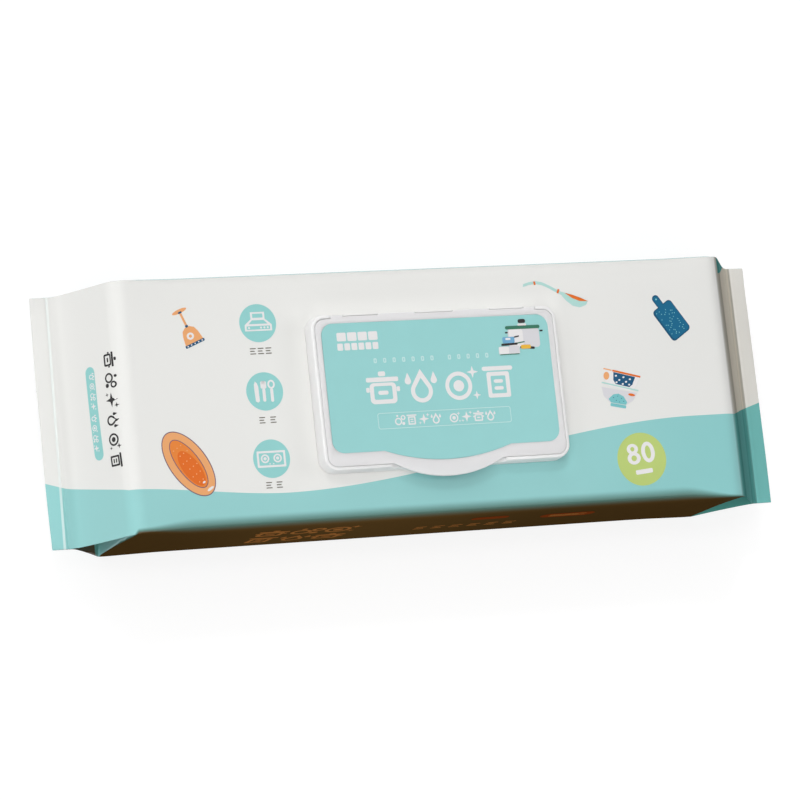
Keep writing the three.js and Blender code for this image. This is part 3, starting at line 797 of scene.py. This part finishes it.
class WIPES_OT_film_print(bpy.types.Operator):
    """Print the discs, drawings, badge and end panel on the film"""

    bl_idname = "wipes_pack.film_print"
    bl_label = "Film print"

    def execute(self, context):
        pouch = bpy.data.objects["film_pouch"]
        on_top = Matrix.Translation((0, 0, (POUCH_TOP + 2) * MM))
        cuts = [side * (CROWN_START + 2.425 * i) for side in (-1, 1) for i in range(4)]
        for name, draw in (("print_discs", self.discs), ("print_tableware", self.tableware),
                           ("print_board_and_bowls", self.board_and_bowls), ("print_badge", self.badge)):
            PrintSheet(draw).press(name, "pack", on_top, pouch, cuts=cuts)
        down_slope = [12.6, 13.6, 14.6, 15.6]
        along_fold = [3.5 * i for i in range(-5, 6)]
        piece = PrintSheet(self.end_panel).press("print_end_panel", "pack", self.end_place(), pouch, "x", down_slope,
                                                 along_fold)
        on_front = Matrix.Translation((0, -49 * MM, 0)) @ Matrix.Rotation(math.pi / 2, 4, "X")
        PrintSheet(self.front_panel).press("print_front_panel", "pack", on_front, pouch, "y")
        return {"FINISHED"}

    def end_place(self):
        """The left end panel: across it along the pack's Y, and down its slope."""
        drop = POUCH_TOP - FIN_HEIGHT - 0.6
        down = Vector((-PANEL_RUN, 0, -drop)).normalized()
        across = Vector((0, 1, 0))
        place = Matrix((across, down, across.cross(down))).transposed().to_4x4()
        place.translation = Vector((-HALF_LENGTH, 0, POUCH_TOP)) * MM
        return place

    def discs(self, sheet):
        """Three discs with a hood, cutlery and a hob, and strokes for words under each."""
        for y in (28.7, 3.5, -21.2):
            sheet.lay("teal", oval(0, 0, 7.05, steps=64), shift=(-66.6, y))
        hood = sheet.at(-66.5, 28.9, level=1)
        body = [(-5.2, -3.1), (5.2, -3.1), (5.2, -0.8), (2.7, 1.3), (2.7, 3.9), (-2.7, 3.9), (-2.7, 1.3),
                (-5.2, -0.8)]
        hood("white", body, box(0, -1.9, 9.0, 1.3, 0.2), box(0, 2.55, 4.0, 1.5, 0.2),
             [(-3.7, -0.5), (3.7, -0.5), (2.2, 0.9), (-2.2, 0.9)])
        hood("white", *[oval(x, -1.9, 0.38, steps=12) for x in (-3.6, 1.0, 2.3, 3.6)])
        cutlery = sheet.at(-66.6, 3.6, level=1)
        cutlery("white", [(-3.9, 0.2), (-3.9, 2.6), (-3.4, 3.7), (-2.7, 3.0), (-2.3, 1.6), (-2.2, -3.6),
                          (-2.9, -4.1), (-3.7, -3.6)])
        cutlery("white", box(-0.3, 2.3, 2.2, 2.7, 0.5), box(-0.65, 3.2, 0.18, 1.2), box(0.05, 3.2, 0.18, 1.2))
        cutlery("white", box(-0.3, -1.4, 1.15, 4.9, 0.5))
        cutlery("white", oval(2.7, 2.4, 1.4, 1.65), oval(2.7, 2.4, 0.75, 1.0))
        cutlery("white", box(2.7, -1.6, 1.15, 4.9, 0.5))
        hob = sheet.at(-66.7, -21.3, level=1)
        hob("white", box(0, 0, 10.9, 6.0, 0.3), box(0, 0, 9.4, 4.5, 0.2))
        hob("white", *[oval(x, 0.2, r) for x in (-2.4, 2.4) for r in (1.6, 1.05)])
        hob("white", *[oval(x, 0.2, 0.6, steps=16) for x in (-2.4, 2.4)])
        hob("white", *[oval(x, -1.75, 0.25, steps=10) for x in (-0.7, 0.7)])
        for y, places in ((18.4, (-3.0, 0, 3.0)), (-7.0, (-2.1, 2.1)), (-30.8, (-2.0, 2.0))):
            for x in places:
                sheet.lay("olive", *dashes(0, 0, 2.3, 2.3, 0.36), shift=(-66.5 + x, y))

    def tableware(self, sheet):
        """A glass, an oval dish and a spoon, of simple shapes."""
        glass = sheet.at(-93.4, 27.9, -158)
        glass("peach", oval(0, -6.9, 3.0, 0.75))
        glass("peach", [(-0.45, -6.8), (0.45, -6.8), (0.4, -1.2), (-0.4, -1.2)])
        glass("navy", box(0, -0.9, 1.1, 0.9, 0.3), box(0, -6.4, 1.5, 0.7, 0.3), level=1)
        glass("peach", [(-0.9, -0.6), (0.9, -0.6), (2.4, 0.4), (3.1, 2.2), (3.7, 5.6), (-3.7, 5.6), (-3.1, 2.2),
                        (-2.4, 0.4)])
        glass("white", oval(0.4, 2.9, 1.4, 1.3), oval(0.4, 2.9, 0.6), level=1)
        glass("navy", box(0, 6.0, 7.9, 1.0, 0.2), level=1)
        glass("white", *[oval(-3.0 + 1.5 * i, 6.0, 0.28, steps=8) for i in range(5)], level=2)
        dish = sheet.at(-98.1, -21.3, -56.6)
        dish("mauve", oval(0, 0, 13.6, 7.15, steps=72))
        dish("peach", oval(0, 0, 13.25, 6.8, steps=72), level=1)
        dish("mauve", oval(0, 0, 10.4, 4.3, steps=60), level=2)
        dish("amber", oval(0, 0, 10.1, 4.0, steps=60), level=3)
        dish("orange", oval(1.9, -0.2, 7.4, 3.2, steps=48), level=4)
        seeds = [(-7 + 2.9 * i, row * 1.7 + (0.8 if i % 2 else 0)) for i in range(6) for row in (-1, 0, 1)]
        dish("peach", *[oval(x, y, 0.24, steps=8) for x, y in seeds if (x / 9) ** 2 + (y / 3.3) ** 2 < 1], level=5)
        dish("white", oval(11.9, 0.9, 0.5, 1.4), level=2)
        dish("white", oval(8.6, 0.4, 0.35, 0.6), level=5)
        handle = [(39.6, 38.9), (42.0, 39.6), (44.6, 39.9), (47.2, 39.4), (50.0, 38.0), (52.6, 36.4), (55.2, 35.0)]
        sheet.lay("mint", handle + [(x - 0.3, y - 1.1) for x, y in reversed(handle)])
        sheet.lay("mint", [(54.4, 35.4), (58.0, 34.4), (62.0, 32.9), (65.0, 31.4), (64.0, 29.9), (61.4, 29.1),
                           (58.6, 29.8), (56.2, 31.8), (54.6, 33.8)])
        sheet.lay("orange", [(55.8, 34.9), (59.0, 34.0), (62.2, 32.7), (65.0, 31.3), (61.6, 31.5), (58.6, 32.8)],
                  level=1)
        sheet.lay("orange", box(44.2, 39.1, 0.8, 1.4, 0.2, 5), box(53.3, 35.6, 0.8, 1.7, 0.2, -25), level=1)

    def board_and_bowls(self, sheet):
        """A cutting board and two bowls, of simple shapes."""
        board = sheet.at(97.8, 23.6, -56.6)
        board("deep_blue", box(1.3, 0, 14.0, 9.4, 1.5))
        board("deep_blue", box(-7.6, 0, 5.4, 2.9, 1.4))
        board("blue", box(1.3, 0.25, 13.2, 8.4, 1.3), level=1)
        board("blue", box(-7.3, 0, 5.0, 2.2, 1.1), level=1)
        spots = [((i * 7.39) % 11.3 - 4.2, (i * i * 1.37) % 6.8 - 3.4) for i in range(44)]
        flecks = [spot for i, spot in enumerate(spots) if all(math.dist(spot, other) > 0.5 for other in spots[:i])]
        board("foam", *[oval(x, y, 0.24, 0.16, i * 40, 6) for i, (x, y) in enumerate(flecks)], level=2)
        board("foam", oval(-8.6, 0, 0.35, steps=10), level=2)
        bowls = sheet.at(74.6, 0.4, -15)
        bowls("white", [(-7.4, 3.0), (7.4, 3.0), (6.2, -1.2), (4.2, -3.0), (-4.2, -3.0), (-6.2, -1.2)])
        bowls("orange", dash(-3.6, 3.2, 7.4, 3.2, 0.7), level=1)
        bowls("peach", dash(-7.4, 3.2, -4.4, 3.2, 0.45), oval(-6.0, 0.7, 1.15, 1.5), level=1)
        bowls("navy", [(-3.4, 2.7), (5.6, 2.7), (4.9, -0.4), (3.8, -1.6), (-1.8, -1.6), (-3.0, -0.3)], level=1)
        dots = [(-2.2, 1.5), (-0.6, 0.2), (0.9, 1.6), (2.2, 0.1), (3.6, 1.4), (-1.6, -0.9), (1.0, -1.0), (3.6, -0.7)]
        bowls("white", *[oval(x, y, 0.45, 0.35, 30, 8) for x, y in dots], level=2)
        bowls("mint", dash(-7.3, -2.2, 7.4, -2.2, 0.5), level=2)
        big = sheet.at(73.0, -5.6, -12)
        big("grey", [(-7.2, 2.7), (7.4, 2.7), (6.0, -0.6), (3.4, -2.6), (-3.4, -2.6), (-6.0, -0.6)])
        big("foam", [(-4.0, -1.4), (-2.2, 0.6), (-0.2, 1.2), (2.0, 0.5), (3.7, -1.6), (3.2, -2.6), (-2.9, -2.6)],
            level=1)
        big("foam", box(0.2, -3.4, 6.4, 1.2, 0.4))
        big("orange", oval(5.2, 1.6, 1.4, 0.5), level=1)
        seeds = [(-2, -0.6), (-0.4, 0.2), (1.2, -0.4), (-0.8, -1.5), (2.2, -1.4), (0.6, -1.9)]
        big("deep_blue", *[oval(x, y, 0.18, steps=6) for x, y in seeds], level=2)

    def badge(self, sheet):
        """The count, and a bar under it."""
        sheet.lay("lime", oval(79.6, -29.6, 10.0, steps=72))
        eight = sheet.at(76.3, -27.6, 5)
        eight("white", oval(0, 1.9, 2.3, 2.0), oval(0, 1.9, 0.85, 0.85), level=1)
        eight("white", oval(0, -1.6, 2.7, 2.35), oval(0, -1.6, 1.1, 1.1), level=2)
        sheet.lay("white", oval(0, 0, 2.75, 3.95), oval(0, 0, 1.15, 2.5), level=1, shift=(82.4, -27.1), turn=5)
        sheet.lay("white", box(0, 0, 7.0, 1.7, 0.5), level=1, shift=(80.1, -34.3), turn=5)

    def end_panel(self, sheet):
        """A row of signs and a tag with small ones, across the left end panel."""
        for i, name in enumerate(("pot", "bubbles", "spark", "drops", "plate", "cloth")):
            sheet.lay("black", *sign(name, 0.43), shift=(18.6 - 7.3 * i, 4.75 + 0.19 * i), turn=181.6)
        sheet.lay("teal", box(0, 0, 34.2, 4.3, 2.15, 1.8), shift=(0.5, 14.1))
        for i, name in enumerate(("drops", "plate", "bubbles", "spark") * 2):
            across = 13.9 - 3.6 * i - (0.8 if i > 3 else 0)
            sheet.lay("white", *sign(name, 0.21), level=1, shift=(across, 13.72 + 0.11 * i), turn=181.6)

    def front_panel(self, sheet):
        """Faint signs, strokes for words and plain tags on the dark side, in inks darkened with painted shade."""
        for i, name in enumerate(("pot", "bubbles", "plate", "cloth", "drops", "pot")):
            sheet.lay("brown", *sign(name, 0.95), shift=(-64 + 13.4 * (i % 3), 35 - 15 * (i // 3)), turn=-4)
        for i in range(6):
            sheet.lay("brown", *dashes(0, 0, 4.4, 5.2, 0.9), shift=(-2 + 7.2 * i, 24))
        sheet.lay("rust", box(54, 34, 22, 7.4, 3.7), box(21, 38, 15, 5, 2.4), level=1)
        sheet.lay("brown", *dashes(54, 34, 15, 3.2, 0.7), level=2)


# Lid


class WIPES_OT_lid(bpy.types.Operator):
    """Finish the moulded frame, the flip cover, its label and the seal under it"""

    bl_idname = "wipes_pack.lid"
    bl_label = "Lid"

    def execute(self, context):
        settings = context.scene.wipes_lid
        for node, name, body, slot in (("lid_frame", "lid_frame_moulding", "pack", "lid_plastic"),
                                       ("flip_lid", "flip_lid_moulding", "lid", "cover_plastic")):
            piece = copy_of_node(node, name)
            edit(piece, (bpy.ops.mesh.dissolve_limited, {"angle_limit": math.radians(1)}))
            if body == "lid":
                self.close_gap(piece)
            apply_modifier(piece, "BEVEL", width=MOULDED_EDGE * MM, segments=2, limit_method="ANGLE",
                           angle_limit=math.radians(40), use_clamp_overlap=True)
            work_on(piece)
            bpy.ops.object.shade_smooth_by_angle(angle=math.radians(38))
            # The frame's lighter white is painted light.
            white = settings.frame if body == "pack" else settings.white
            piece.data.materials.append(moulded(f"{name}_plastic", white, settings.roughness))
            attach(piece, body)
            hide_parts(node)
        for node, material in (
            ("lid_label", plain_ink("label_film", settings.label, 0.36)),
            ("seal_sticker", plain_ink("seal_film", printed(214, 218, 220), 0.3)),
        ):
            piece = frame["nodes"][node]
            piece.data.materials.clear()
            piece.data.materials.append(material)
        return {"FINISHED"}

    def close_gap(self, cover):
        """The gap round the cover shows as a hairline: its sides, front and hinge notches reach out."""
        front, corner = FRAME_LOW.y + 2.0, 3.8
        for vertex in cover.data.vertices:
            x, y, z = vertex.co / MM
            if z > COVER_HIGH.z - 1.5:
                out = share_of(abs(x) - COVER_HIGH.x + corner, corner)
                ahead = share_of(front + corner - y, corner)
                back = share_of(y - FRAME_HIGH.y + 3, 1.5)
                vertex.co.x += math.copysign(GAP_CLOSING * out * MM, x)
                vertex.co.y += GAP_CLOSING * (back - ahead) * MM


class WIPES_OT_label_print(bpy.types.Operator):
    """Print the label in the lid: four signs, blocks and small signs for words, and a pot"""

    bl_idname = "wipes_pack.label_print"
    bl_label = "Label print"

    def execute(self, context):
        on_label = Matrix.Translation((0, 0, LABEL_TOP * MM))
        for name, draw in (("label_signs", self.signs), ("label_words", self.words), ("label_pot", self.pot)):
            PrintSheet(draw).press(name, "lid", on_label)
        return {"FINISHED"}

    def signs(self, sheet):
        """A pot, drops, a clean plate and a hanging cloth."""
        for name, x in (("pot", -23.1), ("drops", -8.0), ("plate", 7.5), ("cloth", 22.6)):
            sheet.lay("white", *sign(name, 1), shift=(x, 1.7))

    def words(self, sheet):
        """Blocks and small frames for words, and a ruled box of small signs."""
        sheet.lay("white", *[box(-37.2 + 4.1 * i, 21.1, 3.6, 3.2, 0.5) for i in range(4)])
        sheet.lay("white", *[box(-38.0 + 2.75 * i, 17.4, 2.2, 2.6, 0.4) for i in range(6)])
        for i in range(12):
            x = -25.0 + 3.72 * i + (3.2 if i > 6 else 0)
            sheet.lay("pale", box(x, 11.75, 1.2, 1.8, 0.4), box(x, 11.75, 0.4, 0.9))
        sheet.lay("pale", box(-0.1, -10.65, 52.6, 6.0, 0.9), box(-0.1, -10.65, 52.1, 5.5, 0.7))
        for i, name in enumerate(("bubbles", "cloth", "spark", "drops", "plate", "spark", "pot", "drops")):
            sheet.lay("white", *sign(name, 0.32), shift=(-17.9 + 4.75 * i + (2.6 if i > 3 else 0), -10.65))

    def pot(self, sheet):
        """A lidded pot with a pan and a tray before it."""
        pot = sheet.at(0, 0)
        pot("grey", box(34.7, 17.6, 12.6, 7.4, 1.3))
        pot("white", box(31.6, 17.6, 5.6, 7.2, 1.2), level=1)
        pot("green", box(34.5, 21.6, 13.9, 1.3, 0.6), level=2)
        pot("white", box(34.4, 22.6, 3.4, 0.9, 0.3), level=2)
        pot("black", box(34.4, 23.9, 3.0, 1.5, 0.7), level=3)
        pot("black", box(27.9, 19.8, 1.1, 0.6, 0.2), box(41.9, 20.0, 1.3, 0.6, 0.2), level=2)
        pot("black", dash(33.2, 14.1, 38.2, 13.7, 0.9), level=2)
        pot("yellow", box(35.1, 14.2, 3.9, 1.5, 0.4), level=3)
        pot("sky", box(28.4, 17.0, 4.8, 2.3, 0.5), level=3)
        pot("white", box(28.2, 17.4, 2.0, 0.8, 0.3), level=4)
        pot("black", dash(30.9, 18.0, 32.5, 18.3, 0.5), level=4)
        pot("black", dash(25.7, 15.3, 31.5, 15.5, 0.8), level=4)
        pot("green", dash(31.7, 15.7, 34.6, 16.1, 0.4), level=4)
        pot("grey", box(28.3, 13.1, 8.4, 3.0, 0.5), level=3)
        pot("white", box(26.2, 13.2, 3.9, 2.6, 0.4), level=4)
        pot("green", dash(24.6, 11.6, 32.1, 11.7, 0.3), level=4)


# Stage


class WIPES_OT_stage(bpy.types.Operator):
    """Set the floor, the lamps and the camera"""

    bl_idname = "wipes_pack.stage"
    bl_label = "Stage"

    def execute(self, context):
        settings = context.scene.wipes_stage
        self.floor()
        self.room(context.scene, settings)
        self.key_lamp(context.scene, settings)
        self.camera(context.scene, settings)
        return {"FINISHED"}

    def floor(self):
        deselect_all()
        bpy.ops.mesh.primitive_plane_add(size=8)
        floor = bpy.context.object
        floor.name = "floor"
        finish = Finish("floor_paper", 0.9, 0.1)
        tree = finish.tree
        finish.colour(finish.blend(finish.noise(3, 2), printed(138, 138, 138), printed(136, 136, 136)))
        glow = finish.add("ShaderNodeEmission", Color=(1.0, 1.0, 1.0), Strength=finish.times(finish.seen(), 0.8))
        both = finish.add("ShaderNodeAddShader")
        tree.links.new(finish.shader.outputs[0], both.inputs[0])
        tree.links.new(glow.outputs[0], both.inputs[1])
        tree.links.new(both.outputs[0], tree.nodes["Material Output"].inputs["Surface"])
        floor.data.materials.append(finish.material)

    def room(self, scene, settings):
        """A studio painted on the sky: bright at the left, dim at the right, a softbox above. It shows as white."""
        world = bpy.data.worlds.new("studio")
        world.use_nodes = True
        scene.world = world
        sky = Sky(world)
        x, y, z = sky.axes()
        across = sky.ramp(x, -0.2, 0.6, settings.room, settings.right * settings.room)
        light = sky.times(across, sky.ramp(x, -0.95, -0.3, 0.62, 1.0),
                          sky.ramp(z, -0.1, 0.8, settings.horizon, 1.0),
                          sky.ramp(y, -0.2, -0.9, 1.0, 1.6), sky.ramp(y, 0.2, 0.9, 1.0, 1.7))
        softbox = sky.times(sky.band(x, -0.65, -0.20), sky.band(y, 0.08, 0.20), sky.calc("GREATER_THAN", z, 0))
        light = sky.add_times(softbox, settings.softbox, light)
        strength = sky.add("ShaderNodeMix", {"data_type": "FLOAT"})
        for i, value in ((0, sky.seen()), (2, light), (3, 1)):
            sky.put(strength.inputs[i], value)
        background = sky.tree.nodes["Background"]
        sky.put(background.inputs["Strength"], strength.outputs[0])
        sky.put(background.inputs["Color"], (1, 1, 1))

    def key_lamp(self, scene, settings):
        lamp = bpy.data.lights.new("key_lamp", "SUN")
        lamp.angle = math.radians(4)
        lamp.energy = settings.key
        holder = bpy.data.objects.new("key_lamp", lamp)
        scene.collection.objects.link(holder)
        away = Vector((-0.197, 0.58, 0.79)).normalized()
        holder.location = away
        holder.rotation_euler = away.to_track_quat("Z", "Y").to_euler()

    def camera(self, scene, settings):
        camera = bpy.data.cameras.new("camera")
        camera.lens = settings.lens
        camera.sensor_width = 36
        camera.clip_end = 20
        holder = bpy.data.objects.new("camera", camera)
        scene.collection.objects.link(holder)
        holder.location = (-0.521606, -0.194791, 1.350090)
        holder.rotation_euler = [math.radians(v) for v in (10.16850929, -20.3453931, -6.49936811)]
        scene.camera = holder
        scene.view_settings.view_transform = "Standard"


class WIPES_PT_panel(bpy.types.Panel):
    """Lists the pieces of the wipes pack"""

    bl_idname = "WIPES_PT_panel"
    bl_label = "Wet wipes pack"
    bl_space_type = "VIEW_3D"
    bl_region_type = "UI"
    bl_category = "Wipes pack"

    def draw(self, context):
        for operator in OPERATORS:
            self.layout.operator(operator.bl_idname)
        for group in (context.scene.wipes_film, context.scene.wipes_lid, context.scene.wipes_stage):
            for name in group.bl_rna.properties.keys():
                if name not in ("rna_type", "name"):
                    self.layout.prop(group, name)


OPERATORS = (WIPES_OT_stage, WIPES_OT_film_pouch, WIPES_OT_film_print, WIPES_OT_lid, WIPES_OT_label_print)
SETTINGS = {"wipes_film": FilmSettings, "wipes_lid": LidSettings, "wipes_stage": StageSettings}


def register():
    for kind in (*SETTINGS.values(), *OPERATORS, WIPES_PT_panel):
        bpy.utils.register_class(kind)
    for name, kind in SETTINGS.items():
        setattr(bpy.types.Scene, name, PointerProperty(type=kind))


def unregister():
    for name in SETTINGS:
        delattr(bpy.types.Scene, name)
    for kind in (WIPES_PT_panel, *OPERATORS, *SETTINGS.values()):
        bpy.utils.unregister_class(kind)


def main():
    register()
    bpy.ops.wipes_pack.stage()
    bpy.ops.wipes_pack.film_pouch()
    bpy.ops.wipes_pack.film_print()
    bpy.ops.wipes_pack.lid()
    bpy.ops.wipes_pack.label_print()


if __name__ == "__main__":
    main()
